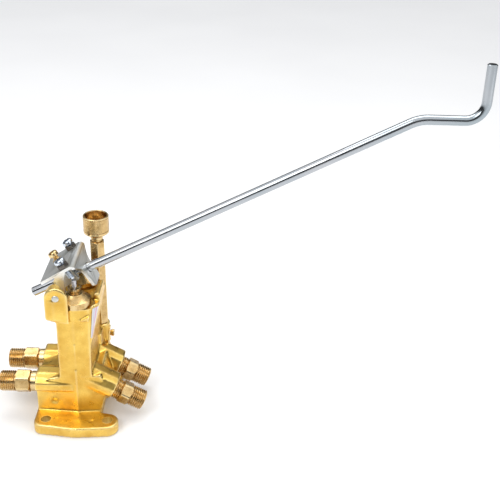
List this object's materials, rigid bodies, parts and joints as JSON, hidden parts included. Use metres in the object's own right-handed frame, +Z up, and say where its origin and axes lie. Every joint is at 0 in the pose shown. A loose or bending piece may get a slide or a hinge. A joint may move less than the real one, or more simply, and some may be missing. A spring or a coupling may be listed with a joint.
{
  "type": "torch gas economizer valve",
  "caption": "Twin gas shut-off valve on a flanged brass casting, with hose nipples, a hook lever on a pivoting bracket and a pilot light tube with a knurled cup.",
  "frame": {"origin": "centre of the flange's flat underside", "axes": "+X along the hook lever, towards its end; +Y from the front valve to the rear valve; +Z up"},
  "size_m": [0.3148, 0.0868, 0.2528],
  "materials": {
    "cast_brass": "bright cast, lacquered",
    "turned_brass": "machined, slightly tarnished",
    "zinc_sheet": "zinc plated sheet",
    "zinc_screw": "blue zinc plated",
    "bright_rod": "bright plated",
    "steel": "plain stainless",
    "seal_rubber": "moulded",
    "seal_plastic": "pressed PTFE",
    "label_paper": "printed film, blank"
  },
  "bodies": {
    "casting": {"valve_body": "cast_brass", "inlet_nipple_front": "turned_brass", "inlet_nipple_rear": "turned_brass", "outlet_nipple_front": "turned_brass", "outlet_nipple_rear": "turned_brass", "gland_nut_front": "turned_brass", "gland_nut_rear": "turned_brass", "packing_screw_front": "turned_brass", "packing_screw_rear": "turned_brass", "stem_packing_front": "seal_plastic", "stem_packing_rear": "seal_plastic", "valve_seat_front": "turned_brass", "valve_seat_rear": "turned_brass", "pivot_pin_front": "zinc_screw", "pivot_pin_rear": "zinc_screw", "pilot_tube": "turned_brass", "pilot_jet": "turned_brass", "label_strip": "label_paper"},
    "lever": {"lever_bracket": "zinc_sheet", "lever_rod": "bright_rod", "rod_block": "zinc_sheet", "adjusting_lock_nut_front": "zinc_screw", "adjusting_lock_nut_rear": "zinc_screw"},
    "adjuster_front": {"adjusting_screw_front": "zinc_screw"},
    "adjuster_rear": {"adjusting_screw_rear": "zinc_screw"},
    "rod_clamp": {"clamp_screw": "turned_brass"},
    "stem_front": {"valve_stem_front": "steel", "stem_disc_front": "seal_rubber", "return_spring_front": "steel"},
    "stem_rear": {"valve_stem_rear": "steel", "stem_disc_rear": "seal_rubber", "return_spring_rear": "steel"},
    "cup": {"pilot_cup": "turned_brass"},
    "needle": {"pilot_needle": "turned_brass"}
  },
  "joints": [
    {"name": "lever_pivot", "type": "hinge", "parent": "casting", "child": "lever", "pos_m": [-0.0094, 0, 0.0992], "axis": [0, 1, 0], "range_deg": [0, 10], "stiffness_Nm_per_rad": 0.6, "springref_deg": -22.92},
    {"name": "stem_front_slide", "type": "slide", "parent": "casting", "child": "stem_front", "axis": [0, 0, 1], "range_m": [-0.0018, 0], "deforming": ["return_spring_front"]},
    {"name": "stem_rear_slide", "type": "slide", "parent": "casting", "child": "stem_rear", "axis": [0, 0, 1], "range_m": [-0.0018, 0], "deforming": ["return_spring_rear"]},
    {"name": "adjuster_front_turn", "type": "hinge", "parent": "lever", "child": "adjuster_front", "pos_m": [-0.0006, -0.01405, 0.1084], "axis": [0.5299, 0, -0.848], "range_deg": [-180, 180]},
    {"name": "adjuster_rear_turn", "type": "hinge", "parent": "lever", "child": "adjuster_rear", "pos_m": [-0.0006, 0.01405, 0.1084], "axis": [0.5299, 0, -0.848], "range_deg": [-180, 180]},
    {"name": "clamp_turn", "type": "hinge", "parent": "lever", "child": "rod_clamp", "pos_m": [-0.01098, 0, 0.11186], "axis": [0.5299, 0, -0.848], "range_deg": [-180, 180]},
    {"name": "cup_turn", "type": "hinge", "parent": "casting", "child": "cup", "pos_m": [0.0099, 0.028, 0.13], "axis": [0, 0, 1], "continuous": true},
    {"name": "needle_turn", "type": "hinge", "parent": "casting", "child": "needle", "pos_m": [0.0119, 0.028, 0.04], "axis": [1, 0, 0], "range_deg": [0, 300]}
  ],
  "couplings": [
    {"joint": "stem_front_slide", "follows": "lever_pivot", "m_per_rad": -0.0098},
    {"joint": "stem_rear_slide", "follows": "lever_pivot", "m_per_rad": -0.0098}
  ]
}
